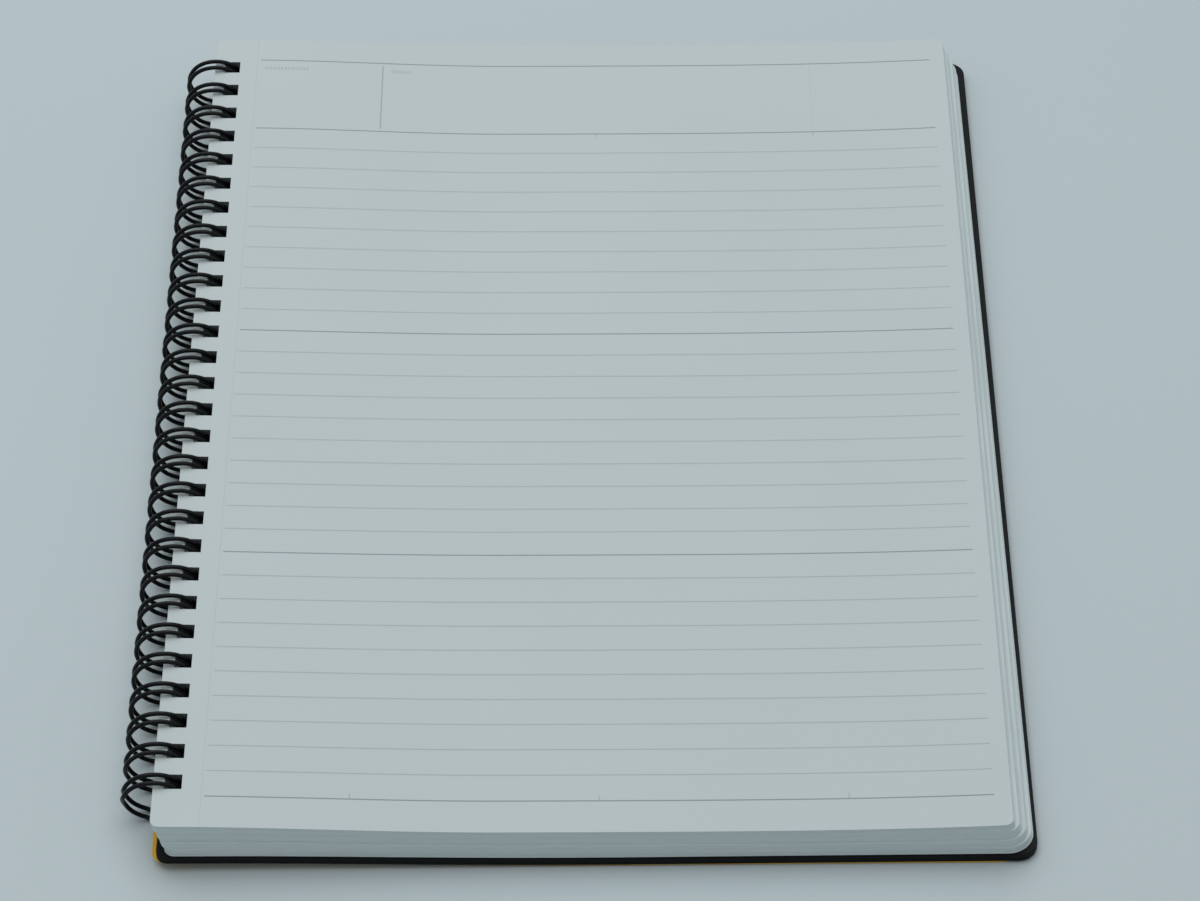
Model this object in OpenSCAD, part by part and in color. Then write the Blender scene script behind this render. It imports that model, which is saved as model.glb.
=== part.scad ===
// Ruled notebook on a twin loop wire binding, lying open.
// The pages are on top. The back cover, the front cover and the flyleaf
// are folded together under them, round the wire.

/* [Pages] */
// Width of a page, from its bound edge to its fore edge
page_w = 179.8; // [150:0.1:220]
// Length of a page, along the binding
page_len = 252; // [180:1:320]
// Rise of the bound and fore edges of the top page over its middle
page_rise = 1.95; // [1:0.05:2.5]
// How the rise gathers at the edges, where 2 is an even curve
page_curl = 2.5; // [2:0.1:4]
// How far the top page's bound edge reaches past the axis of the loops
bound_reach = 0.3; // [0:0.1:0.8]
// Number of groups that the sheets have slid apart in
sheet_groups = 8; // [4:1:12]
// Corner radius of the pages, at the binding and at the fore edge
page_bound_r = 1.8; // [1:0.1:4]
page_fore_r = 2.6; // [1:0.1:6]

/* [Holes] */
// Distance from one hole to the next, three to the inch
hole_pitch = 8.466; // [7.5:0.001:9.5]
// Distance from a sheet's bound edge to its holes
hole_margin = 2.2; // [2:0.1:2.5]
// Least distance from the end of a page to the middle of its last hole
hole_end_margin = 8; // [6:0.5:12]
// How far the row of holes sits above the middle of the page
hole_row_shift = 1.1; // [0:0.1:2]
// Play left between the wire and the sides of a square hole
hole_play = 0.2; // [0.15:0.05:0.4]

/* [Binding wire] */
// Outside diameter of the closed loops
ring_od = 14.3; // [12:0.1:17]
// Diameter of the wire
wire_d = 1.0; // [0.8:0.05:1.1]
// Room left in the loops over the highest edge of the pages, and under the
// flyleaf, where the pages lie evenly about the axis
ring_room = 0.7; // [0.5:0.1:1]
// How far the stack of sheets has risen from there
stack_lift = 0.1; // [0:0.05:0.3]
// Distance between the two wires of a loop, centre to centre
loop_gap = 2.3; // [2:0.1:2.4]
// Where the loops leave the seam, in degrees below the horizontal
seam_start = 57; // [55:0.5:58]
// Bend radius of the wire between one loop and the next
bridge_bend_r = 1.0; // [0.8:0.05:1.2]

/* [Covers] */
// Thickness of the back cover
back_cover_t = 0.9; // [0.6:0.1:1.2]
// Thickness of the front cover
front_cover_t = 0.8; // [0.5:0.1:1]
// How far the covers reach past the fore edge of the lowest page
cover_fore_lip = 1.6; // [0:0.1:3]
// How far the covers reach past each end of the pages
cover_end_lip = 0.75; // [0:0.05:3]
// Corner radius of the covers, at the binding and at the fore edge
cover_bound_r = 2.2; // [1:0.1:6]
cover_fore_r = 4; // [1:0.5:8]

/* [Flyleaf] */
// Thickness of the flyleaf
flyleaf_t = 0.35; // [0.2:0.05:0.5]
// Width of the flyleaf, from its bound edge to its fore edge
flyleaf_w = 179.8; // [150:0.1:220]
// How far the flyleaf reaches past each end of the pages
flyleaf_end_lip = 0.95; // [0:0.05:3]
// How far the flyleaf has slid towards the binding
flyleaf_slide = 0.15; // [0:0.05:0.4]
// Corner radius of the flyleaf
flyleaf_corner_r = 3; // [2:0.5:8]

/* [Hidden] */

// Smoothness of corners and bends, of the wire's section and of the loops
arc_fn = 48;
wire_fn = 24;
loop_fn = 96;
// Number of flat strips in the curve of the top page
page_strips = 36;
// Length by which a cutting tool passes the face that it cuts
past = 1;
// Depth by which a group of sheets laps the one below, so that all are one solid
group_lap = 0.05;
// Number of levels at which the holes are measured against the wire
hole_levels = 40;
// Angle of the seam, twice that of a triangle with sides of 7, 24 and 25
seam_angle = 4 * atan(1 / 7);
// Length of the sides of the wedge that opens the seam
seam_reach = 10;

// The stack frame has X across the page from the axis of the loops, Y up
// the page and Z upwards.
// Its origin is on that axis, at the middle of the page's length.
ring_out_r = ring_od / 2;
wire_r = wire_d / 2;
ring_r = ring_out_r - wire_r;
ring_in_r = ring_r - wire_r;

// Levels of the stack, which fills the loops but for their room. The pages
// take what the covers and the flyleaf leave.
stack_half_h = ring_in_r - ring_room;
page_edge_z = stack_half_h + stack_lift;
page_mid_z = page_edge_z - page_rise;
stack_bottom_z = stack_lift - stack_half_h;
front_bottom_z = stack_bottom_z + flyleaf_t;
back_bottom_z = front_bottom_z + front_cover_t;
block_bottom_z = back_bottom_z + back_cover_t;

// Where the inside and the outside of the loops cross a level
function loop_in_x(z) = sqrt(ring_in_r * ring_in_r - z * z);
function loop_out_x(z) = sqrt(ring_out_r * ring_out_r - z * z);

// The lower sheets hang on the wire, so the loops set how far they slide
page_left = -bound_reach;
fan = loop_in_x(block_bottom_z) - hole_margin - hole_play - page_left;
// The holes of all the sheets make a slanted shaft, with its left wall here
function shaft_left(z) =
    page_left + hole_margin + fan * (page_edge_z - z) / (page_edge_z - block_bottom_z);
// A hole is as wide as the wire needs at any level of the block, and passes
// both wires of a loop
hole_needs = [for (i = [0 : hole_levels])
    let (z = page_edge_z + (block_bottom_z - page_edge_z) * i / hole_levels)
    loop_out_x(z) - shaft_left(z) + hole_play];
hole_side = ceil(100 * max(concat(hole_needs, loop_gap + wire_d + 2 * hole_play))) / 100;

// A cover's bound edge, with its holes centred on the wire that passes them
function sheet_left(top_z, bottom_z) =
    (loop_in_x(bottom_z) + loop_out_x(top_z) - hole_side) / 2 - hole_margin;
cover_left = sheet_left(block_bottom_z, front_bottom_z);
flyleaf_left = sheet_left(front_bottom_z, stack_bottom_z) - flyleaf_slide;
cover_right = page_left + page_w + fan + cover_fore_lip;
flyleaf_right = flyleaf_left + flyleaf_w;

// The row of holes, and of the loops that pass them
hole_count = floor((page_len - 2 * hole_end_margin) / hole_pitch) + 1;
function hole_y(i) = hole_row_shift + (i - (hole_count - 1) / 2) * hole_pitch;

// The table touches the loops and the fore edge of the flyleaf, so the
// stack leans down from the loops by this angle
lean = asin(ring_out_r / norm([flyleaf_right, stack_bottom_z]))
    - atan2(-stack_bottom_z, flyleaf_right);
// The object's own origin is under the middle of its outline, on the table
box_left = -ring_out_r;
box_right = cover_right * cos(lean) + block_bottom_z * sin(lean);
box_mid = (box_left + box_right) / 2;

// Moves the stack frame to where the notebook rests on the table
module at_rest() {
    translate([-box_mid, 0, ring_out_r]) rotate([0, lean, 0]) children();
}

// Outline of a sheet from its left edge to its right, with round corners
module sheet_outline(left, right, len, bound_r, fore_r) {
    translate([left + bound_r, -len / 2]) square([right - fore_r - left - bound_r, len]);
    translate([left, -len / 2 + bound_r]) square([right - fore_r - left, len - 2 * bound_r]);
    translate([left + bound_r, -len / 2 + fore_r]) square([right - left - bound_r, len - 2 * fore_r]);
    for (end = [-1, 1]) {
        translate([left + bound_r, end * (len / 2 - bound_r)]) circle(r = bound_r, $fn = arc_fn);
        translate([right - fore_r, end * (len / 2 - fore_r)]) circle(r = fore_r, $fn = arc_fn);
    }
}

// A flat sheet with its row of square holes
module punched_sheet(left, right, len, bound_r, fore_r, bottom_z, t) {
    translate([0, 0, bottom_z]) linear_extrude(t) difference() {
        sheet_outline(left, right, len, bound_r, fore_r);
        for (i = [0 : hole_count - 1])
            translate([left + hole_margin, hole_y(i) - hole_side / 2])
                square(hole_side);
    }
}

// One group of sheets, counted from the top page down
module sheet_group(i) {
    group_t = (page_edge_z - block_bottom_z) / sheet_groups;
    lap = i < sheet_groups - 1 ? group_lap : 0;
    left = page_left + fan * i / (sheet_groups - 1);
    translate([0, 0, page_edge_z - (i + 1) * group_t - lap]) linear_extrude(group_t + lap)
        sheet_outline(left, left + page_w, page_len, page_bound_r, page_fore_r);
}

// The slanted shaft that the holes of all the sheets make together
module hole_shaft(y) {
    top_z = page_edge_z + past;
    bottom_z = block_bottom_z - past;
    translate([0, y + hole_side / 2, 0]) rotate([90, 0, 0]) linear_extrude(hole_side)
        polygon([
            [shaft_left(top_z), top_z],
            [shaft_left(top_z) + hole_side, top_z],
            [shaft_left(bottom_z) + hole_side, bottom_z],
            [shaft_left(bottom_z), bottom_z],
        ]);
}

// Height of the top page, over the width of the page from -1 to 1
function page_z(u) = page_mid_z + page_rise * pow(abs(u), page_curl);

// The wide shallow hollow of the top page
module page_hollow() {
    half_w = page_w / 2;
    curve = [for (i = [0 : page_strips])
        let (u = 2 * i / page_strips - 1) [page_left + half_w * (1 + u), page_z(u)]];
    translate([0, page_len / 2 + past, 0]) rotate([90, 0, 0]) linear_extrude(page_len + 2 * past)
        polygon(concat(curve, [[page_left + page_w, page_edge_z + past], [page_left, page_edge_z + past]]));
}

module page_block() {
    color([0.73, 0.78, 0.80]) at_rest() difference() {
        for (i = [0 : sheet_groups - 1]) sheet_group(i);
        page_hollow();
        for (i = [0 : hole_count - 1]) hole_shaft(hole_y(i));
    }
}

// The wire turned about the Z axis, on a circle or on a part of one
module wire_turn(r, angle, fn) {
    rotate_extrude(angle = angle, $fn = fn) translate([r, 0]) circle(r = wire_r, $fn = wire_fn);
}

// A loop's two wires, open at the seam. The loop frame has X from the axis
// to where the loop leaves the seam, and Y along the binding.
module loop_wires() {
    rotate([90, 0, 0]) difference() {
        for (side = [-1, 1]) translate([0, 0, side * loop_gap / 2])
            rotate([0, 0, 180]) wire_turn(ring_r, 360, loop_fn);
        linear_extrude(2 * loop_gap, center = true)
            polygon([[0, 0], seam_reach * [cos(seam_angle), -sin(seam_angle)], [seam_reach, 0]]);
    }
}

// The round tip that joins a loop's two wires, on the far side of the seam
module loop_tip() {
    rotate([0, seam_angle, 0]) translate([ring_r, 0, 0]) rotate([0, -90, 0]) rotate([0, 0, -90])
        wire_turn(loop_gap / 2, 180, arc_fn);
}

// The bridge from one loop to the next, outside the sheets
module bridge() {
    half_span = (hole_pitch - loop_gap) / 2;
    half_rod = half_span - bridge_bend_r;
    translate([ring_r, hole_pitch / 2, 0]) {
        translate([0, -half_rod, 0]) rotate([0, 90, 0]) rotate([0, 0, -90])
            wire_turn(bridge_bend_r, 90, arc_fn);
        translate([0, half_rod, 0]) rotate([0, 90, 0]) wire_turn(bridge_bend_r, 90, arc_fn);
        translate([0, half_rod, -bridge_bend_r]) rotate([90, 0, 0])
            cylinder(r = wire_r, h = 2 * half_rod, $fn = wire_fn);
    }
}

module binding_wire() {
    color([0.06, 0.06, 0.07]) at_rest() rotate([0, seam_start, 0])
        for (i = [0 : hole_count - 1]) translate([0, hole_y(i), 0]) {
            loop_wires();
            loop_tip();
            if (i < hole_count - 1) bridge();
        }
}

module back_cover() {
    color([0.09, 0.09, 0.10]) at_rest()
        punched_sheet(cover_left, cover_right, page_len + 2 * cover_end_lip, cover_bound_r,
            cover_fore_r, back_bottom_z, back_cover_t);
}

module front_cover() {
    color([0.11, 0.11, 0.12]) at_rest()
        punched_sheet(cover_left, cover_right, page_len + 2 * cover_end_lip, cover_bound_r,
            cover_fore_r, front_bottom_z, front_cover_t);
}

module flyleaf() {
    color([0.80, 0.60, 0.10]) at_rest()
        punched_sheet(flyleaf_left, flyleaf_right, page_len + 2 * flyleaf_end_lip,
            flyleaf_corner_r, flyleaf_corner_r, stack_bottom_z, flyleaf_t);
}

page_block();
binding_wire();
back_cover();
front_cover();
flyleaf();
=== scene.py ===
"""Ruled notebook on a twin loop wire, lying open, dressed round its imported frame."""
import math
from types import SimpleNamespace

import bpy
import numpy as np
from mathutils import Matrix, Vector


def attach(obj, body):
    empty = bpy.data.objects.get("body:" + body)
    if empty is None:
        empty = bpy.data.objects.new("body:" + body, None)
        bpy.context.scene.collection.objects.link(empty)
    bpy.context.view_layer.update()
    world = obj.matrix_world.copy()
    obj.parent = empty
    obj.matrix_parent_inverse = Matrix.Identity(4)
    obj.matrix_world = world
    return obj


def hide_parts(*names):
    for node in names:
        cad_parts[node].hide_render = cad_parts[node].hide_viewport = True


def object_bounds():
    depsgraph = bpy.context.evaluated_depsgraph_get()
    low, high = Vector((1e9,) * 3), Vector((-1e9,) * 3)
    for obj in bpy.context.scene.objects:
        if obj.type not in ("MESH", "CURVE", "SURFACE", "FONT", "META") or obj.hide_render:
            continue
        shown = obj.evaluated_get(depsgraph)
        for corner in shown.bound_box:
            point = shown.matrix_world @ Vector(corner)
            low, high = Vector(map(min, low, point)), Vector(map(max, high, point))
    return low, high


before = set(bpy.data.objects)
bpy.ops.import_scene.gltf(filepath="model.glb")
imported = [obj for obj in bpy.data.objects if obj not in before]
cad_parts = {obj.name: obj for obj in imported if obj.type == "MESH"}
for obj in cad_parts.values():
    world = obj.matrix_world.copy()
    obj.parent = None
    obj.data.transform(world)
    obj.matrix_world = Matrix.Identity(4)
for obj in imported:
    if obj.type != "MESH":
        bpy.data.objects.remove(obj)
CAD_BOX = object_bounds()

bl_info = {
    "name": "Twin Loop Notebook",
    "version": (1, 0, 0),
    "blender": (4, 5, 0),
    "location": "View3D > Sidebar > Notebook",
    "description": "Makes the pages, the wire, the covers and the stage of a ruled notebook",
    "category": "Object",
}

# How far the stack leans down from the loops to its fore edge
STACK_LEAN = math.radians(0.574483)
# The corner where the ruling starts, seen from the axis of the loops, in mm
RULING_FROM_AXIS = (11.0, -117.0)
METRE = 0.001


def screen(red, green, blue):
    """The linear colour that shows as these 8-bit values on a screen."""
    value = np.array([red, green, blue]) / 255
    return tuple(np.where(value <= 0.04045, value / 12.92, ((value + 0.055) / 1.055) ** 2.4))


def length(name, description, millimetres):
    """A length that a user may change, given in mm and kept in metres."""
    return bpy.props.FloatProperty(
        name=name, description=description, default=millimetres * METRE,
        min=0, precision=5, subtype="DISTANCE", unit="LENGTH")


def colour(name, description, *rgb):
    """A colour that a user may change, given as it shows on a screen."""
    return bpy.props.FloatVectorProperty(
        name=name, description=description, default=screen(*rgb),
        size=3, min=0, max=1, subtype="COLOR")


class PageSettings(bpy.types.PropertyGroup):
    """Sizes and colours of the ruled pages."""

    width: length("Width", "From the bound edge of the top page to its fore edge", 178.5)
    height: length("Height", "Along the binding", 251.4)
    last_height: length("Last height", "Of the last sheet, where the sheets have spread", 252.8)
    shift: length("Shift", "Of the sheets towards the head", 0.3)
    low_level: length("Low level", "Of the top page's hollow over the axis of the loops", 3.62)
    bound_rise: length("Bound rise", "Of the page's bound edge over its hollow", 1.93)
    fore_rise: length("Fore rise", "Of the page's fore edge over its hollow", 1.55)
    corner: length("Corner radius", "Of the top page", 1.8)
    last_bound_corner: length("Last bound corner", "Radius on the last sheet", 2.2)
    last_fore_corner: length("Last fore corner", "Radius on the last sheet", 5.6)
    bound_edge: length("Bound edge", "Of the top page, from the axis of the loops", 0.1)
    bound_slide: length("Bound slide", "Of the last sheet from the first, at the binding", 2.4)
    fore_slide: length("Fore slide", "Of the last sheet from the first, at the fore edge", 4.4)
    sheets: bpy.props.IntProperty(
        name="Sheets", description="Number of sheets in the block", default=80, min=8)
    line_pitch: length("Line pitch", "From one ruled line to the next", 7)
    paper: colour("Paper", "Colour of the paper", 186, 198, 200)
    ink: colour("Ink", "Colour of the ruling", 118, 126, 132)


class HoleSettings(bpy.types.PropertyGroup):
    """Sizes of the row of holes."""

    number: bpy.props.IntProperty(
        name="Holes", description="Number of holes and loops", default=28, min=2)
    pitch: length("Pitch", "From one hole to the next", 8.466)
    width: length("Width", "Of a hole, across the page", 3.6)
    height: length("Height", "Of a hole, along the binding", 3.94)
    margin: length("Margin", "From a sheet's bound edge to its holes", 2.4)
    shift: length("Shift", "Of the row above the middle of the page", 1.1)


class WireSettings(bpy.types.PropertyGroup):
    """Sizes and colour of the binding wire."""

    loop: length("Loop", "Outside diameter of the closed loops", 14.3)
    wire: length("Wire", "Diameter of the wire", 1.0)
    gap: length("Gap", "Between the two wires of a loop, centre to centre", 2.3)
    bend: length("Bend", "Radius of the bends between the loops", 1.0)
    seam: bpy.props.FloatProperty(
        name="Seam", description="Angle of the seam below the horizontal",
        default=math.radians(57), subtype="ANGLE", unit="ROTATION")
    paint: colour("Paint", "Colour of the wire", 9, 9, 11)


class CoverSettings(bpy.types.PropertyGroup):
    """Sizes and colours of the covers and the flyleaf."""

    bound_edge: length("Bound edge", "Of both covers, from the axis of the loops", 0.792)
    width: length("Width", "Of both covers", 183.398)
    height: length("Height", "Of both covers, along the binding", 253.5)
    back: length("Back cover", "Its thickness", 0.9)
    front: length("Front cover", "Its thickness", 0.8)
    bound_corner: length("Bound corner", "Radius of both covers", 2.2)
    fore_corner: length("Fore corner", "Radius of both covers", 4)
    leaf_width: length("Flyleaf width", "From its bound edge to its fore edge", 179.8)
    leaf_height: length("Flyleaf height", "Along the binding", 252.45)
    leaf: length("Flyleaf", "Its thickness", 0.35)
    leaf_corner: length("Flyleaf corner", "Radius of its corners", 3)
    leaf_slide: length("Flyleaf slide", "Past the axis of the loops", 0.248)
    board: colour("Board", "Colour of both covers", 9, 10, 12)
    flyleaf: colour("Flyleaf", "Colour of the flyleaf", 222, 170, 28)


class StageSettings(bpy.types.PropertyGroup):
    """The table and its light."""

    table: colour("Table", "Colour of the table", 181, 195, 200)
    dome: bpy.props.FloatProperty(
        name="Dome", description="Strength of the even light from all round", default=0.38, min=0)
    lamp: bpy.props.FloatProperty(
        name="Lamp", description="Power of the large soft lamp", default=16,
        min=0, subtype="POWER", unit="POWER")


def in_mm(group):
    """The lengths of a property group in mm, and its other values as they are."""
    values = {}
    for key in group.__annotations__:
        value = getattr(group, key)
        unit = group.bl_rna.properties[key].unit
        values[key] = round(value / METRE, 4) if unit == "LENGTH" else value
    return SimpleNamespace(**values)


def turned(x, z, angle):
    """X and Z after a turn about the Y axis that takes X down towards -Z."""
    return x * math.cos(angle) + z * math.sin(angle), z * math.cos(angle) - x * math.sin(angle)


def to_row(points, loop):
    """Points from the stack's frame in mm to the table's frame in metres.

    The stack's frame has its origin on the axis of the loops. It is turned by
    the stack's lean, and its axis is lifted by half of a loop.
    """
    x, z = turned(points[..., 0], points[..., 2], STACK_LEAN)
    axis_x = CAD_BOX[0].x + loop / 2 * METRE
    return np.stack([x * METRE + axis_x, points[..., 1] * METRE, (z + loop / 2) * METRE], -1)


def hole_places(holes):
    """Y of the middle of each hole, evenly spaced about the shifted middle."""
    return holes.shift + (np.arange(holes.number) - (holes.number - 1) / 2) * holes.pitch


def make_piece(name, points, faces, smooth, materials, kinds, body, node):
    """A mesh piece in the table's frame that rides on a body for a CAD node.

    Each face has its kind, the number of its material in the list.
    """
    mesh = bpy.data.meshes.new(name)
    mesh.from_pydata(points.reshape(-1, 3).tolist(), [], faces)
    mesh.polygons.foreach_set("use_smooth", smooth)
    for material in materials:
        mesh.materials.append(material)
    mesh.polygons.foreach_set("material_index", kinds)
    mesh.update()
    if mesh.validate():
        raise ValueError(f"the faces of {name} had to be repaired")
    piece = bpy.data.objects.new(name, mesh)
    bpy.context.scene.collection.objects.link(piece)
    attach(piece, body)
    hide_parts(node)
    return piece


# Pages

# Where the top page is lowest across its width, in mm from the axis of the loops
HOLLOW_X = 75.0
# How the rises gather at the edges, where 2 is an even curve
BOUND_CURL = 1.75
FORE_CURL = 3.5
# At the head and foot the hollow is deeper, the fore edge rises more, and the
# page comes down from a level strip at the binding within these places
END_DIP = 0.42
END_BOUND_RISE = 2.35
END_FORE_RISE = 2.0
END_STRIP = (5.0, 72.0)
# The page is calmest here along the binding, and is an end this far up or down
CALM_Y = -45.0
CALM_UP = 138.0
CALM_DOWN = 95.0
CALM_SHARE = 0.12
# The stack comes down from the loops to the table between these places
LIFTED_STRIP = (15.0, 100.0)
# Gaps under the flyleaf, between the covers and under the pages
SHEET_GAP = 0.02
# Depths at which one bunch of sheets ends and the next starts
BUNCH_ENDS = (0.25, 0.52, 0.78)
# Slide of each bunch's first and last sheet, and how far it is drawn in, in mm
BUNCH_SLIDES = ((0, 0.12, 0), (0.3, 0.45, 0.12), (0.6, 0.75, 0), (0.9, 1, 0.1))
# Most that one sheet is drawn in by itself, in mm, and its share in a hole
SHEET_SCATTER = 0.05
HOLE_SCATTER = 0.5
SHEET_SEED = 7
# How far the last sheet's fore edge runs out towards its foot, as a slope
LAST_SLOPE = 0.0036
# Share of a cover's thickness by which its edge is rounded
BOARD_EDGE = 0.2
# How far the flyleaf's foot runs out towards its fore edge, as a slope
LEAF_SLOPE = 0.0025
# Kinds of face: the top and bottom sheets, the sheets' cut edges, the ledges
# between them and the holes' walls
PRINTED, EDGE, LEDGE, SHAFT = range(4)
CORNER_STEPS = 10
PAGE_COLUMNS = 40
# Column of the holes in the grid, and the narrow rim of cells along every edge,
# in mm, so that the shading of the page doesn't bend towards the walls
HOLE_COLUMN = 3
RIM = 0.1


def smooth_step(value):
    """0 up to 0, 1 from 1, and three squares less two cubes between them."""
    value = np.clip(value, 0, 1)
    return value * value * (3 - 2 * value)


def top_level(x, y, pages):
    """Height of the top page over the axis of the loops.

    From the hollow the page rises to its fore edge as a power of the
    distance. To the bound edge it rises as another power in the middle of
    its height, and in a smooth step at its head and foot.
    """
    fore = np.clip((x - HOLLOW_X) / (pages.bound_edge + pages.width - HOLLOW_X), 0, 1) ** FORE_CURL
    bound = np.clip(1 - (x - pages.bound_edge) / (HOLLOW_X - pages.bound_edge), 0, 1) ** BOUND_CURL
    step = smooth_step((END_STRIP[1] - x) / (END_STRIP[1] - END_STRIP[0]))
    reach = np.where(y > CALM_Y, CALM_UP, CALM_DOWN)
    end = CALM_SHARE + (1 - CALM_SHARE) * np.clip(np.abs(y - CALM_Y) / reach, 0, 1) ** 2
    calm_level = pages.low_level + pages.fore_rise * fore + pages.bound_rise * bound
    end_level = pages.low_level - END_DIP + END_FORE_RISE * fore + END_BOUND_RISE * step
    return calm_level + (end_level - calm_level) * end


def underside(x, loop, covers):
    """Height of the stack's underside over the axis of the loops.

    It lies on the table, and rises in a smooth step to its level at the
    binding, where the wire's holes hold it.
    """
    table = (x * math.sin(STACK_LEAN) - loop / 2) / math.cos(STACK_LEAN) + SHEET_GAP
    fore = covers.leaf_width - covers.leaf_slide
    held = (fore * math.sin(STACK_LEAN) - loop / 2) / math.cos(STACK_LEAN) + SHEET_GAP
    down = smooth_step((x - LIFTED_STRIP[0]) / (LIFTED_STRIP[1] - LIFTED_STRIP[0]))
    return held + (table - held) * down


def sheet_grid(holes, width, height, bound_corner, fore_corner, shift=0.0):
    """X and Y of a sheet's grid, and which of its cells are holes.

    Columns and rows run along the edges of the holes. In the round corners a
    row starts and ends on the two arcs: at an angle it lies at the radius
    times its sine, and is drawn in by the radius less its cosine's share. The
    shift moves the head and the foot and leaves the holes.
    """
    hole_left, hole_right = holes.margin, holes.margin + holes.width
    columns = np.concatenate([
        [0, RIM, hole_left - RIM, hole_left, hole_right],
        np.linspace(hole_right + RIM, width - RIM, PAGE_COLUMNS), [width]])
    middles = hole_places(holes)
    half = holes.height / 2
    straight = np.sort(np.concatenate([
        middles - half - RIM, middles - half, middles + half, middles + half + RIM]))
    angle = np.linspace(0, math.pi / 2, CORNER_STEPS + 1)

    def edge(corner):
        """Y and draw-in of each row at an edge with this corner radius."""
        up = height / 2 - corner + corner * np.sin(angle)
        drawn_in = corner * (1 - np.cos(angle))
        return (np.concatenate([shift - up[::-1], straight, shift + up]),
                np.concatenate([drawn_in[::-1], 0 * straight, drawn_in]))

    bound_y, bound_in = edge(bound_corner)
    fore_y, fore_in = edge(fore_corner)
    share = columns / width
    x = bound_in[:, None] + (width - bound_in - fore_in)[:, None] * share
    y = bound_y[:, None] + (fore_y - bound_y)[:, None] * share
    row_middle = (bound_y[1:] + bound_y[:-1]) / 2
    in_row = np.abs(row_middle[:, None] - middles).min(1) < half
    in_column = np.arange(len(columns) - 1) == HOLE_COLUMN
    return x, y, in_row[:, None] & in_column


def sheet_steps(pages):
    """Slide, depth and draw-in down the block's wall, two rows for each sheet.

    Sheet i of n is from i/n to (i+1)/n deep. Within a bunch the slide grows
    evenly, from the bunch's first value to its last, and the bunch and each
    of its sheets are drawn in by small amounts.
    """
    rng = np.random.default_rng(SHEET_SEED)
    n = pages.sheets
    order = (np.arange(n) + 0.5) / n
    bunch = np.searchsorted(BUNCH_ENDS, order)
    starts = np.array([0, *BUNCH_ENDS])[bunch]
    ends = np.array([*BUNCH_ENDS, 1])[bunch]
    first, last, held_in = np.array(BUNCH_SLIDES).T[:, bunch]
    slide = first + (last - first) * (order - starts) / (ends - starts)
    drawn_in = held_in + rng.uniform(0, SHEET_SCATTER, n)
    slide[[0, -1]], drawn_in[[0, -1]] = (0, 1), 0
    depth = np.stack([np.arange(n), np.arange(n) + 1], 1).ravel() / n
    return np.repeat(slide, 2), depth, np.repeat(drawn_in, 2)


def punched_solid(top, base, is_hole, steps, wall_kinds, hole_scatter):
    """Points, faces and kinds of face of a closed sheet or block with holes.

    The top and the base are grids of points of the same shape. Between them,
    each point of the outline and of the holes goes down in steps of slide,
    depth and draw-in.
    """
    slide, depth, drawn_in = steps
    levels = len(depth)
    number = np.arange(top[..., 0].size).reshape(top.shape[:2])
    count = number.size
    top, base = top.reshape(-1, 3), base.reshape(-1, 3)
    points = [top, base]
    total = 2 * count

    cap = np.stack([number[:-1, :-1], number[:-1, 1:], number[1:, 1:], number[1:, :-1]], -1)
    cap = cap[~is_hole]
    faces = [cap, cap[:, ::-1] + count]
    kinds = [np.full(2 * len(cap), PRINTED)]

    def wall(loop, outward, edge_kind, ledge_kind):
        """Faces down one closed loop of the grid, and the points between."""
        nonlocal total
        share = np.stack([slide, slide, depth], -1)[:, None]
        down = top[loop] + (base[loop] - top[loop]) * share
        down[..., :2] -= outward * drawn_in[:, None, None]
        points.append(down[1:-1].reshape(-1, 3))
        between = total + np.arange((levels - 2) * len(loop)).reshape(levels - 2, len(loop))
        total += between.size
        ids = np.concatenate([loop[None], between, loop[None] + count])
        over = np.roll(ids, -1, 1)
        faces.append(np.stack([ids[:-1], ids[1:], over[1:], over[:-1]], -1).reshape(-1, 4))
        row_kinds = np.where(np.arange(levels - 1) % 2, ledge_kind, edge_kind)
        kinds.append(np.repeat(row_kinds, len(loop)))

    outline = np.concatenate([
        number[0, :], number[1:, -1], number[-1, -2::-1], number[-2:0:-1, 0]])
    along = np.roll(top[outline, :2], -1, 0) - np.roll(top[outline, :2], 1, 0)
    along /= np.linalg.norm(along, axis=1, keepdims=True)
    edge_kind, ledge_kind, shaft_kind = wall_kinds
    wall(outline, np.stack([along[:, 1], -along[:, 0]], 1), edge_kind, ledge_kind)
    for row in np.flatnonzero(is_hole[:, HOLE_COLUMN]):
        cell = number[row:row + 2, HOLE_COLUMN:HOLE_COLUMN + 2]
        loop = np.array([cell[0, 0], cell[1, 0], cell[1, 1], cell[0, 1]])
        outward = np.array([[1, 1], [1, -1], [-1, -1], [-1, 1]]) * hole_scatter
        wall(loop, outward, shaft_kind, shaft_kind)
    return np.concatenate(points), np.concatenate(faces), np.concatenate(kinds)


def page_surface(pages, holes, loop, covers):
    """The block of pages, from the top page down to the back cover.

    The wall goes down in the sheets' steps, so that the lines between the
    sheets close up where the page is low.
    """
    x, y, is_hole = sheet_grid(
        holes, pages.width, pages.height, pages.corner, pages.corner, pages.shift)
    last_width = pages.width + pages.fore_slide - pages.bound_slide
    last_x, last_y, _ = sheet_grid(
        holes, last_width, pages.last_height, pages.last_bound_corner, pages.last_fore_corner,
        pages.shift)
    x = x + pages.bound_edge
    last_x = last_x - LAST_SLOPE * last_y * last_x / last_width
    last_x = last_x + pages.bound_edge + pages.bound_slide
    under_pages = covers.leaf + covers.front + covers.back + 3 * SHEET_GAP
    top = np.stack([x, y, top_level(x, y, pages)], -1)
    base = np.stack([last_x, last_y, underside(last_x, loop, covers) + under_pages], -1)
    return punched_solid(
        top, base, is_hole, sheet_steps(pages), (EDGE, LEDGE, SHAFT), HOLE_SCATTER)


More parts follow.
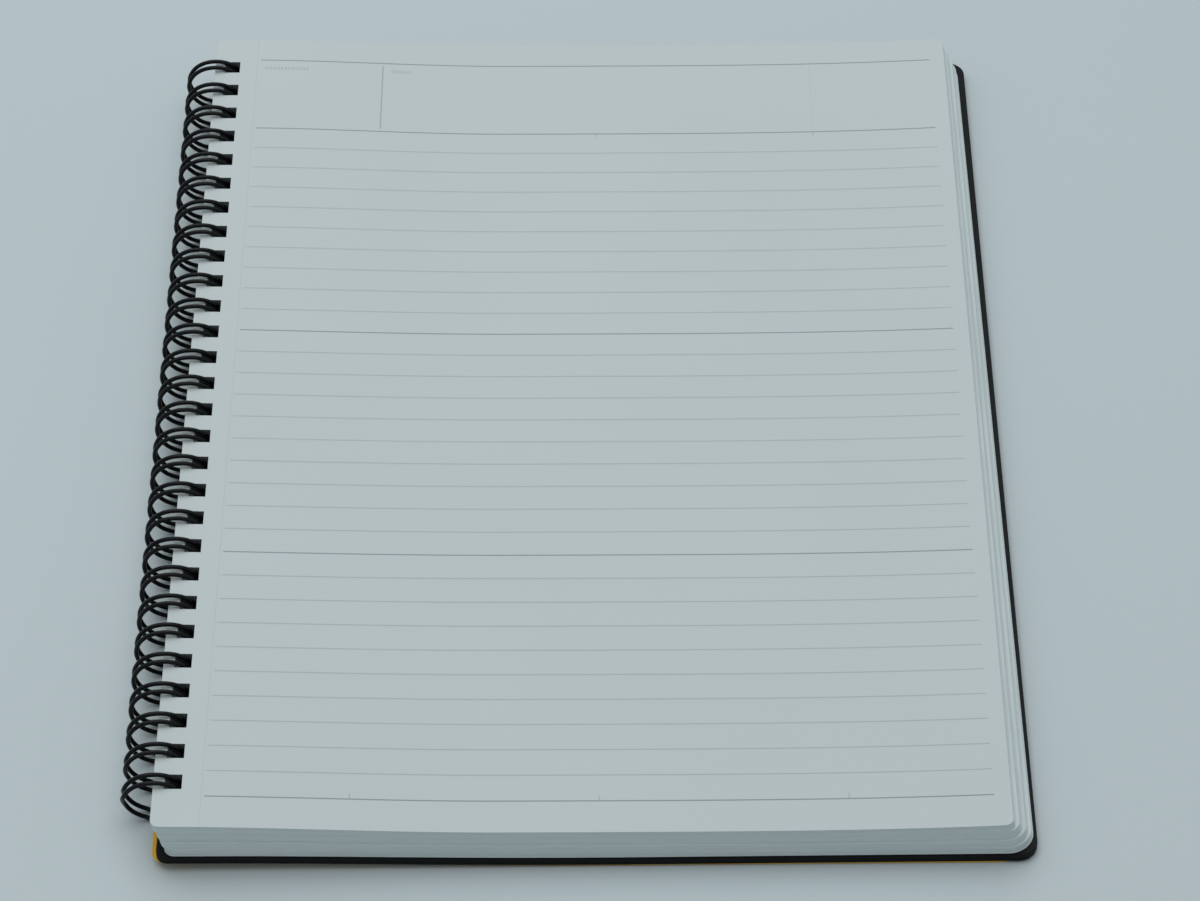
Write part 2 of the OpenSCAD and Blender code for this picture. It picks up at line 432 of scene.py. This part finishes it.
def board_surface(holes, loop, covers, left, size, corners, slope, over, thickness):
    """One cover or the flyleaf, over the stack's underside by a height.

    Its edge is rounded: the top and the base are drawn in from the outline.
    The slope moves it towards the foot with the distance from the binding.
    """
    drawn_in = BOARD_EDGE * thickness
    width, height = size
    x, y, is_hole = sheet_grid(
        holes, width - 2 * drawn_in, height - 2 * drawn_in, *corners)
    x = x + left + drawn_in
    low = underside(x, loop, covers) + over
    top = np.stack([x, y, low + thickness], -1)
    base = np.stack([x, y, low], -1)
    levels = np.array([0, BOARD_EDGE, 1 - BOARD_EDGE, 1])
    bulge = -drawn_in * np.array([0, 1, 1, 0])
    points, faces, _ = punched_solid(
        top, base, is_hole, (0 * levels, levels, bulge), (EDGE, EDGE, SHAFT), 0)
    points[:, 1] -= slope * points[:, 0]
    return points, faces


# Binding wire

# Angle of the opening at the seam, twice that of a triangle with sides 7, 24 and 25
SEAM_OPENING = 4 * math.atan(1 / 7)
WIRE_SIDES = 12
ARC_STEPS = 84
TIP_STEPS = 12
BEND_STEPS = 6
# Turns from the bridges, in degrees, where the sway of a loop's lower arc
# starts, is full, starts to go and is gone, and the same for its upper arc
LOWER_ARC = (20, 55, 100, 150)
UPPER_ARC = (100, 150, 205, 255)
# Sway of the lower arcs, in mm, at places along the row from foot to head, and
# of every upper arc
SWAY_PLACES = (0, 0.04, 0.1, 0.5, 0.9, 1)
LOWER_SWAYS = (1.5, 0.5, -0.28, -0.28, 0, 0.28)
UPPER_SWAY = -0.28


def loop_line(wire, pitch):
    """Middle line of one loop and its bridge to the next, with the way out.

    In the loop's frame X leaves the axis towards the seam. The wire goes
    round a circle at Y = -gap/2, turns back in a half circle at the seam,
    goes round at Y = +gap/2, and crosses to the next loop by a quarter bend, a
    straight and a quarter bend.
    """
    r = (wire.loop - wire.wire) / 2
    half, bend = wire.gap / 2, wire.bend
    turn = np.linspace(2 * math.pi, SEAM_OPENING, ARC_STEPS, endpoint=False)
    going = np.stack([r * np.cos(turn), np.full_like(turn, -half), -r * np.sin(turn)], 1)
    going_out = np.stack([np.cos(turn), 0 * turn, -np.sin(turn)], 1)
    a = np.linspace(0, math.pi, TIP_STEPS, endpoint=False)[:, None]
    out = np.array([math.cos(SEAM_OPENING), 0, -math.sin(SEAM_OPENING)])
    back = np.array([math.sin(SEAM_OPENING), 0, math.cos(SEAM_OPENING)])
    tip = r * out + half * (np.array([0, -1, 0]) * np.cos(a) + back * np.sin(a))
    tip_out = np.broadcast_to(out, tip.shape)
    turn = np.linspace(SEAM_OPENING, 2 * math.pi, ARC_STEPS, endpoint=False)
    coming = np.stack([r * np.cos(turn), np.full_like(turn, half), -r * np.sin(turn)], 1)
    coming_out = np.stack([np.cos(turn), 0 * turn, -np.sin(turn)], 1)
    a = np.linspace(0, math.pi / 2, BEND_STEPS)
    down = np.stack([0 * a + r, half + bend - bend * np.cos(a), -bend * np.sin(a)], 1)
    up = np.stack([0 * a + r, pitch - half - bend + bend * np.sin(a), -bend * np.cos(a)], 1)[:-1]
    bridge = np.concatenate([down, up])
    bridge_out = np.broadcast_to([1.0, 0, 0], bridge.shape)
    line = np.concatenate([going, tip, coming, bridge])
    way_out = np.concatenate([going_out, tip_out, coming_out, bridge_out])
    return line, way_out, len(bridge)


def eased(turn, arc):
    """0 outside the arc and 1 in its middle, along a smooth step at each end."""
    return smooth_step(np.interp(turn, arc, (0, 1, 1, 0)))


def wire_surface(wire, holes):
    """Points and faces of the whole wire, a round tube along its middle line.

    Each ring of the tube is a circle about the line, in the plane of the way
    out from the axis and of its cross product with the line's direction. The
    lower and the upper arc of a loop sway along the binding.
    """
    line, way_out, bridge = loop_line(wire, holes.pitch)
    turn = np.degrees(np.arctan2(-line[:, 2], line[:, 0])) % 360
    lower, upper = (eased(turn, arc) for arc in (LOWER_ARC, UPPER_ARC))
    sway = np.interp(np.linspace(0, 1, holes.number), SWAY_PLACES, LOWER_SWAYS)
    lines = np.broadcast_to(line, (holes.number, *line.shape)).copy()
    lines[..., 1] += hole_places(holes)[:, None] + sway[:, None] * lower + UPPER_SWAY * upper
    lines = lines.reshape(-1, 3)[:-bridge + 1]
    outs = np.broadcast_to(way_out, (holes.number, *way_out.shape)).reshape(-1, 3)[:-bridge + 1]
    ahead = np.gradient(lines, axis=0)
    ahead /= np.linalg.norm(ahead, axis=1, keepdims=True)
    across = np.cross(ahead, outs)
    across /= np.linalg.norm(across, axis=1, keepdims=True)
    outs = np.cross(across, ahead)
    a = np.arange(WIRE_SIDES) * 2 * math.pi / WIRE_SIDES
    tube = lines[:, None] + wire.wire / 2 * (
        outs[:, None] * np.cos(a)[:, None] + across[:, None] * np.sin(a)[:, None])
    x, z = turned(tube[..., 0], tube[..., 2], wire.seam)
    points = np.stack([x, tube[..., 1], z], -1)
    ids = np.arange(len(lines) * WIRE_SIDES).reshape(-1, WIRE_SIDES)
    over = np.roll(ids, -1, 1)
    side = np.stack([ids[:-1], over[:-1], over[1:], ids[1:]], -1).reshape(-1, 4)
    faces = side.tolist() + [ids[0, ::-1].tolist(), ids[-1].tolist()]
    smooth = np.ones(len(faces), bool)
    smooth[-2:] = False
    return points, faces, smooth


# Materials

# Noise lies mostly within this range
NOISE_RANGE = (0.3, 0.7)
# Scale of the noise that draws fine lines along the sheets' edges
EDGE_LINES = (0.03, 0.03, 14.0)


class Finish:
    """One procedural material, built up from its coordinates."""

    def __init__(self, name, **sockets):
        self.material = bpy.data.materials.new(name)
        self.material.use_nodes = True
        self.tree = self.material.node_tree
        self.shader = self.tree.nodes["Principled BSDF"]
        for key, value in sockets.items():
            self.shader.inputs[key.replace("_", " ")].default_value = value

    def feed(self, socket, value):
        """Links the value to the socket, or sets it there."""
        if isinstance(value, bpy.types.NodeSocket):
            self.tree.links.new(value, socket)
        else:
            socket.default_value = value

    def node(self, kind, inputs=None, **settings):
        """A new node with its settings and inputs."""
        made = self.tree.nodes.new("ShaderNode" + kind)
        for key, value in settings.items():
            setattr(made, key, value)
        for key, value in (inputs or {}).items():
            self.feed(made.inputs[key], value)
        return made

    def math(self, operation, *values):
        """A Math node's result."""
        made = self.node("Math", operation=operation)
        for socket, value in zip(made.inputs, values):
            self.feed(socket, value)
        return made.outputs[0]

    def place(self, scale=1.0, location=(0, 0, 0), turn=0.0):
        """Object coordinates, scaled, turned about Y and moved."""
        made = self.node("Mapping", {
            "Vector": self.node("TexCoord").outputs["Object"],
            "Scale": (scale,) * 3,
            "Rotation": (0, turn, 0),
            "Location": location})
        return made.outputs["Vector"]

    def noise(self, vector, scale, detail=2.0, rough=0.5):
        """Noise over a vector, from 0 to 1."""
        made = self.node("TexNoise", {
            "Vector": vector, "Scale": scale, "Detail": detail, "Roughness": rough})
        return made.outputs["Fac"]

    def spread(self, value, low, high, to_low, to_high):
        """The value's range from low to high, spread over another range."""
        made = self.node("MapRange", {
            "Value": value, "From Min": low, "From Max": high, "To Min": to_low, "To Max": to_high})
        return made.outputs["Result"]

    def mix(self, factor, first, second, blend="MIX"):
        """Two colours mixed by a factor."""
        made = self.node("Mix", data_type="RGBA", blend_type=blend)
        self.feed(made.inputs[0], factor)
        self.feed(made.inputs[6], rgba(first))
        self.feed(made.inputs[7], rgba(second))
        return made.outputs[2]

    def bump(self, height, strength, distance):
        """Sends a height to the shader as a bump."""
        made = self.node("Bump", {"Height": height, "Strength": strength, "Distance": distance})
        self.feed(self.shader.inputs["Normal"], made.outputs["Normal"])


def rgba(value):
    """A colour with its alpha, or a socket as it is."""
    return value if isinstance(value, bpy.types.NodeSocket) else (*value[:3], 1)


def shade(value, factor):
    """A colour made lighter or darker."""
    return tuple(part * factor for part in value[:3])


# The ruling, in mm from its lower bound corner
RULING_WIDTH = 164.0
BOLD_EVERY = 10
RULED_LINES = 30
HEADER_TOP = 235.2
HEADER_DIVIDER = 30.0
DIVIDER_GAP = 1.0
FAINT_DIVIDER = 134.4
LINE_WIDTH = 0.32
DOT_WIDTH = 0.32
DOT_PITCH = 0.6
# The line of fine cuts, drawn in the ink's colour as painted shade in the slits: its X, its width,
# and the pitch and length of a cut
PERFORATION = -0.7
PERFORATION_WIDTH = 0.16
PERFORATION_PITCH = 1.0
PERFORATION_CUT = 0.6
# Ticks stand above the last line and hang below the header
TICKS = (30.0, 82.0, 134.0)
HEADER_TICKS = (82.0, 134.4)
TICK_LENGTH = 1.5
# Two rows of short dashes in the header: X, length and distance from its top
LABELS = ((1.0, 11.0, 2.4), (32.0, 5.0, 2.4))
LABEL_HEIGHT = 1.2
LABEL_PITCH = 0.9
LABEL_DASH = 0.63
# How dark each kind of print is, where 1 is the ink's own colour
BOLD_INK = 0.82
DOT_INK = 0.72
DIVIDER_INK = 0.5
FAINT_INK = 0.12
TICK_INK = 0.3
LABEL_INK = 0.22
# How dark the painted shade in the cuts is, in the same measure
PERFORATION_PAINTED_SHADE = 0.25


def ruling(finish, x, y, pitch):
    """How much ink, and painted shade in the cuts, there is at X and Y on the page, from 0 to 1.

    A line is where the distance to it, a ping-pong of Y for repeated lines, is
    under half of its width. Dots are the same along X.
    """

    def both(*values):
        """The product of several values from 0 to 1."""
        result = values[0]
        for value in values[1:]:
            result = finish.math("MULTIPLY", result, value)
        return result

    def near(value, middle, width):
        """1 where the value is within half of the width from the middle."""
        return finish.math("COMPARE", value, middle, width / 2)

    def between(value, low, high):
        """1 where the value is from low to high."""
        return near(value, (low + high) / 2, high - low)

    def each(value, step, width):
        """1 within half of the width from each multiple of the step."""
        return finish.math("LESS_THAN", finish.math("PINGPONG", value, step / 2), width / 2)

    ruled = RULED_LINES * pitch
    in_width = between(x, 0, RULING_WIDTH)
    in_lines = between(y, -LINE_WIDTH, ruled + LINE_WIDTH)
    in_header = between(y, ruled, HEADER_TOP)
    parts = [
        both(each(y, BOLD_EVERY * pitch, LINE_WIDTH), in_lines, in_width, BOLD_INK),
        both(near(y, HEADER_TOP, LINE_WIDTH), in_width, BOLD_INK),
        both(each(y, pitch, DOT_WIDTH), each(x, DOT_PITCH, DOT_PITCH / 2),
             in_lines, in_width, DOT_INK),
        both(near(x, HEADER_DIVIDER, LINE_WIDTH),
             between(y, ruled + DIVIDER_GAP, HEADER_TOP - DIVIDER_GAP), DIVIDER_INK),
        both(near(x, FAINT_DIVIDER, DOT_WIDTH), each(y, DOT_PITCH, DOT_PITCH / 2),
             in_header, FAINT_INK),
    ]
    for tick in TICKS:
        parts.append(both(near(x, tick, LINE_WIDTH), between(y, 0, TICK_LENGTH), TICK_INK))
    for tick in HEADER_TICKS:
        parts.append(both(
            near(x, tick, LINE_WIDTH), between(y, ruled - TICK_LENGTH, ruled), TICK_INK))
    for start, long, down in LABELS:
        top = HEADER_TOP - down
        parts.append(both(
            between(x, start, start + long), between(y, top - LABEL_HEIGHT, top),
            each(x, LABEL_PITCH, LABEL_DASH), LABEL_INK))
    # The cuts are painted shade: dark dashes in the ink's colour where the slits are
    parts.append(both(
        near(x, PERFORATION, PERFORATION_WIDTH),
        each(y, PERFORATION_PITCH, PERFORATION_CUT), PERFORATION_PAINTED_SHADE))
    ink = parts[0]
    for part in parts[1:]:
        ink = finish.math("MAXIMUM", ink, part)
    return ink


def paper_finish(pages, loop):
    """Ruled writing paper, with a faint grain and a line of fine cuts drawn as painted shade."""
    finish = Finish("ruled_paper", Roughness=0.62)
    shift_x, shift_z = turned(-CAD_BOX[0].x / METRE - loop / 2, -loop / 2, -STACK_LEAN)
    place = finish.place(
        scale=1 / METRE, turn=-STACK_LEAN,
        location=(shift_x - RULING_FROM_AXIS[0], -RULING_FROM_AXIS[1], shift_z))
    parts = finish.node("SeparateXYZ", {"Vector": place})
    x, y = parts.outputs["X"], parts.outputs["Y"]
    grain = finish.noise(place, 3.0, detail=3.0)
    mottle = finish.noise(place, 0.02, detail=1.0)
    paper = finish.mix(
        finish.spread(mottle, *NOISE_RANGE, 0, 1), shade(pages.paper, 0.985), tuple(pages.paper))
    paper = finish.mix(
        finish.spread(grain, *NOISE_RANGE, 0, 0.05), paper, shade(pages.paper, 0.8))
    ink = ruling(finish, x, y, pages.line_pitch)
    finish.feed(finish.shader.inputs["Base Color"], finish.mix(ink, paper, pages.ink))
    finish.feed(finish.shader.inputs["Roughness"], finish.spread(grain, *NOISE_RANGE, 0.58, 0.7))
    finish.bump(grain, 0.12, 0.0001)
    return finish.material


# Painted light and painted shade on the sheets' cut edges: the edges and the ledges between them
# are the paper's colour painted lighter, as painted light, and the holes' walls, where little light
# comes in, are painted darker, as painted shade
PAINTED_LIGHT_ON_EDGES = 1.31
PAINTED_LIGHT_ON_LEDGES = 1.24
PAINTED_SHADE_IN_HOLES = 0.3


def edge_finish(paper, painted_lighting, name):
    """Cut edges of many sheets, with fine lines along them, in the paper's colour times a factor:
    painted light on the edges and ledges, painted shade on the holes' walls.
    """
    finish = Finish(name, Roughness=0.75)
    finish.shader.inputs["Specular IOR Level"].default_value = 0.2
    made = finish.node("Mapping", {
        "Vector": finish.place(scale=1 / METRE), "Scale": EDGE_LINES})
    lines = finish.noise(made.outputs["Vector"], 1.0, detail=2.0)
    # The paper's colour scaled by the factor of painted light (above 1) and painted shade (below 1)
    finish.feed(finish.shader.inputs["Base Color"], finish.mix(
        finish.spread(lines, 0.35, 0.65, 0, 1), shade(paper, painted_lighting * 0.9), shade(paper, painted_lighting)))
    return finish.material


def wire_finish(paint):
    """Black plastic on steel wire, with faint rubs."""
    finish = Finish("black_wire")
    finish.shader.inputs["Specular IOR Level"].default_value = 0.16
    place = finish.place(scale=1 / METRE)
    rub = finish.noise(place, 1.2, detail=4.0, rough=0.6)
    finish.feed(finish.shader.inputs["Base Color"],
                finish.mix(finish.spread(rub, 0.55, 0.8, 0, 0.35), tuple(paint), shade(paint, 3)))
    finish.feed(finish.shader.inputs["Roughness"], finish.spread(rub, *NOISE_RANGE, 0.22, 0.38))
    finish.bump(rub, 0.1, 0.00005)
    return finish.material


def board_finish(board, name):
    """Black plastic board with a fine pebble grain and faint paler clouds."""
    finish = Finish(name)
    finish.shader.inputs["Specular IOR Level"].default_value = 0.12
    place = finish.place(scale=1 / METRE)
    grain = finish.node("TexVoronoi", {"Vector": place, "Scale": 1.6}).outputs["Distance"]
    cloud = finish.noise(place, 0.05, detail=3.0)
    base = finish.mix(finish.spread(cloud, 0.35, 0.65, 0, 1), tuple(board), shade(board, 1.35))
    finish.feed(finish.shader.inputs["Base Color"], base)
    finish.feed(finish.shader.inputs["Roughness"], finish.spread(cloud, *NOISE_RANGE, 0.42, 0.56))
    finish.bump(grain, 0.25, 0.0001)
    return finish.material


def flyleaf_finish(yellow):
    """Yellow coloured paper with a fibrous grain."""
    finish = Finish("yellow_paper")
    place = finish.place(scale=1 / METRE)
    fibre = finish.noise(place, 2.0, detail=4.0, rough=0.6)
    cloud = finish.noise(place, 0.04, detail=2.0)
    base = finish.mix(finish.spread(cloud, *NOISE_RANGE, 0, 1), tuple(yellow), shade(yellow, 0.9))
    base = finish.mix(finish.spread(fibre, 0.4, 0.7, 0, 0.12), base, shade(yellow, 0.6))
    finish.feed(finish.shader.inputs["Base Color"], base)
    finish.feed(finish.shader.inputs["Roughness"], finish.spread(fibre, *NOISE_RANGE, 0.6, 0.75))
    finish.bump(fibre, 0.15, 0.0001)
    return finish.material


# Stage

# The camera's place from the axis of the loops in mm, its turn and its lens
CAMERA_PLACE = (90.43, -708.49, 705.96)
CAMERA_PITCH = math.radians(45.357)
CAMERA_YAW = math.radians(0.26)
CAMERA_LENS = 132.06
TABLE_SIZE = 6.0
LAMP_PLACE = (-0.2, 0.36, 1.3)
LAMP_SIZE = 1.9


def camera_matrix(loop):
    """The camera's place and turn in the table's frame."""
    place = to_row(np.array(CAMERA_PLACE), loop)
    cos_p, sin_p = math.cos(CAMERA_PITCH), math.sin(CAMERA_PITCH)
    cos_y, sin_y = math.cos(CAMERA_YAW), math.sin(CAMERA_YAW)
    right = np.array([cos_y, -sin_y, 0])
    ahead = np.array([sin_y * cos_p, cos_y * cos_p, -sin_p])
    axes = np.stack([right, np.cross(right, ahead), -ahead], 1)
    x, z = turned(axes[0], axes[2], STACK_LEAN)
    rows = [[*row, at] for row, at in zip([x, axes[1], z], place)]
    return Matrix([*rows, [0, 0, 0, 1]])


class NOTEBOOK_OT_stage(bpy.types.Operator):
    """Make the table, the soft light and the camera"""

    bl_idname = "notebook.make_stage"
    bl_label = "Make Stage"

    def execute(self, context):
        scene = context.scene
        stage = scene.notebook_stage
        loop = in_mm(scene.notebook_wire).loop
        half = TABLE_SIZE / 2
        mesh = bpy.data.meshes.new("table")
        corners = [(-half, -half, 0), (half, -half, 0), (half, half, 0), (-half, half, 0)]
        mesh.from_pydata(corners, [], [(0, 1, 2, 3)])
        table = bpy.data.objects.new("table", mesh)
        scene.collection.objects.link(table)
        finish = Finish("pale_table", Roughness=0.55)
        cloud = finish.noise(finish.place(), 3.0, detail=2.0)
        finish.feed(finish.shader.inputs["Base Color"], finish.mix(
            finish.spread(cloud, *NOISE_RANGE, 0, 1), tuple(stage.table), shade(stage.table, 0.98)))
        mesh.materials.append(finish.material)

        world = bpy.data.worlds.new("dome")
        scene.world = world
        world.use_nodes = True
        tree = world.node_tree
        background = tree.nodes["Background"]
        rays = tree.nodes.new("ShaderNodeLightPath")
        shown = rays.outputs["Is Camera Ray"]
        for kind in ("Is Glossy Ray", "Is Transmission Ray"):
            either = tree.nodes.new("ShaderNodeMath")
            either.operation = "MAXIMUM"
            tree.links.new(shown, either.inputs[0])
            tree.links.new(rays.outputs[kind], either.inputs[1])
            shown = either.outputs[0]
        pick = tree.nodes.new("ShaderNodeMix")
        pick.data_type = "RGBA"
        tree.links.new(shown, pick.inputs[0])
        pick.inputs[6].default_value = (stage.dome,) * 3 + (1,)
        pick.inputs[7].default_value = (*stage.table, 1)
        tree.links.new(pick.outputs[2], background.inputs["Color"])

        light = bpy.data.lights.new("lamp", "AREA")
        light.energy = stage.lamp
        light.size = LAMP_SIZE
        lamp = bpy.data.objects.new("lamp", light)
        lamp.location = LAMP_PLACE
        lamp.rotation_euler = Vector(LAMP_PLACE).to_track_quat("Z", "Y").to_euler()
        scene.collection.objects.link(lamp)

        lens = bpy.data.cameras.new("camera")
        lens.lens = CAMERA_LENS
        lens.clip_end = 20
        camera = bpy.data.objects.new("camera", lens)
        scene.collection.objects.link(camera)
        camera.matrix_world = camera_matrix(loop)
        scene.camera = camera
        scene.view_settings.view_transform = "Standard"
        return {"FINISHED"}


class NOTEBOOK_OT_pages(bpy.types.Operator):
    """Make the block of ruled pages, with an edge for every sheet"""

    bl_idname = "notebook.make_pages"
    bl_label = "Make Pages"

    def execute(self, context):
        scene = context.scene
        pages, holes = in_mm(scene.notebook_pages), in_mm(scene.notebook_holes)
        loop, covers = in_mm(scene.notebook_wire).loop, in_mm(scene.notebook_covers)
        points, faces, kinds = page_surface(pages, holes, loop, covers)
        # The edges and ledges carry painted light, and the holes' walls carry painted shade
        finishes = [paper_finish(pages, loop), edge_finish(pages.paper, PAINTED_LIGHT_ON_EDGES, "page_edges_painted_light"),
                    edge_finish(pages.paper, PAINTED_LIGHT_ON_LEDGES, "page_ledges_painted_light"),
                    edge_finish(pages.paper, PAINTED_SHADE_IN_HOLES, "hole_walls_painted_shade")]
        make_piece("ruled_pages", to_row(points, loop), faces.tolist(), kinds == PRINTED,
                   finishes, kinds, "pages", "page_block")
        return {"FINISHED"}


class NOTEBOOK_OT_wire(bpy.types.Operator):
    """Make the binding wire, one tube bent into twin loops"""

    bl_idname = "notebook.make_wire"
    bl_label = "Make Wire"

    def execute(self, context):
        scene = context.scene
        wire, holes = in_mm(scene.notebook_wire), in_mm(scene.notebook_holes)
        points, faces, smooth = wire_surface(wire, holes)
        make_piece("twin_loop_wire", to_row(points, wire.loop), faces, smooth,
                   [wire_finish(wire.paint)], np.zeros(len(faces), int), "front",
                   "binding_wire")
        return {"FINISHED"}


class NOTEBOOK_OT_covers(bpy.types.Operator):
    """Make both covers and the flyleaf, which lie on the table under the pages"""

    bl_idname = "notebook.make_covers"
    bl_label = "Make Covers"

    def execute(self, context):
        scene = context.scene
        covers, holes = in_mm(scene.notebook_covers), in_mm(scene.notebook_holes)
        loop = in_mm(scene.notebook_wire).loop
        cover = (covers.bound_edge, (covers.width, covers.height),
                 (covers.bound_corner, covers.fore_corner), 0)
        leaf = (-covers.leaf_slide, (covers.leaf_width, covers.leaf_height),
                (covers.leaf_corner, covers.leaf_corner), LEAF_SLOPE)
        over_leaf = covers.leaf + SHEET_GAP
        over_front = over_leaf + covers.front + SHEET_GAP
        board, yellow = covers.board, covers.flyleaf
        for name, form, over, thickness, finish, body, slot, node in (
                ("back_board", cover, over_front, covers.back, board_finish(board, "back_board"),
                 "back", "cover_board", "back_cover"),
                ("front_board", cover, over_leaf, covers.front, board_finish(board, "front_board"),
                 "front", "cover_board", "front_cover"),
                ("yellow_leaf", leaf, 0, covers.leaf, flyleaf_finish(yellow),
                 "front", "yellow_paper", "flyleaf")):
            points, faces = board_surface(holes, loop, covers, *form, over, thickness)
            make_piece(name, to_row(points, loop), faces.tolist(), np.zeros(len(faces), bool),
                       [finish], np.zeros(len(faces), int), body, node)
        return {"FINISHED"}


SETTINGS = {
    "notebook_pages": PageSettings,
    "notebook_holes": HoleSettings,
    "notebook_wire": WireSettings,
    "notebook_covers": CoverSettings,
    "notebook_stage": StageSettings,
}
OPERATORS = (NOTEBOOK_OT_stage, NOTEBOOK_OT_pages, NOTEBOOK_OT_wire, NOTEBOOK_OT_covers)


class NOTEBOOK_PT_sidebar(bpy.types.Panel):
    """Settings and operators of the notebook"""

    bl_label = "Notebook"
    bl_idname = "NOTEBOOK_PT_sidebar"
    bl_space_type = "VIEW_3D"
    bl_region_type = "UI"
    bl_category = "Notebook"

    def draw(self, context):
        for operator in OPERATORS:
            self.layout.operator(operator.bl_idname)
        for name, group in SETTINGS.items():
            column = self.layout.column(align=True)
            column.label(text=group.__name__.replace("Settings", ""))
            for key in group.__annotations__:
                column.prop(getattr(context.scene, name), key)


CLASSES = (*SETTINGS.values(), *OPERATORS, NOTEBOOK_PT_sidebar)


def register():
    """Registers the classes and their settings on the scene."""
    for item in CLASSES:
        bpy.utils.register_class(item)
    for name, group in SETTINGS.items():
        setattr(bpy.types.Scene, name, bpy.props.PointerProperty(type=group))


def unregister():
    """Takes away what register added."""
    for name in SETTINGS:
        delattr(bpy.types.Scene, name)
    for item in reversed(CLASSES):
        bpy.utils.unregister_class(item)


def main():
    register()
    bpy.ops.notebook.make_stage()
    bpy.ops.notebook.make_pages()
    bpy.ops.notebook.make_wire()
    bpy.ops.notebook.make_covers()


if __name__ == "__main__":
    main()
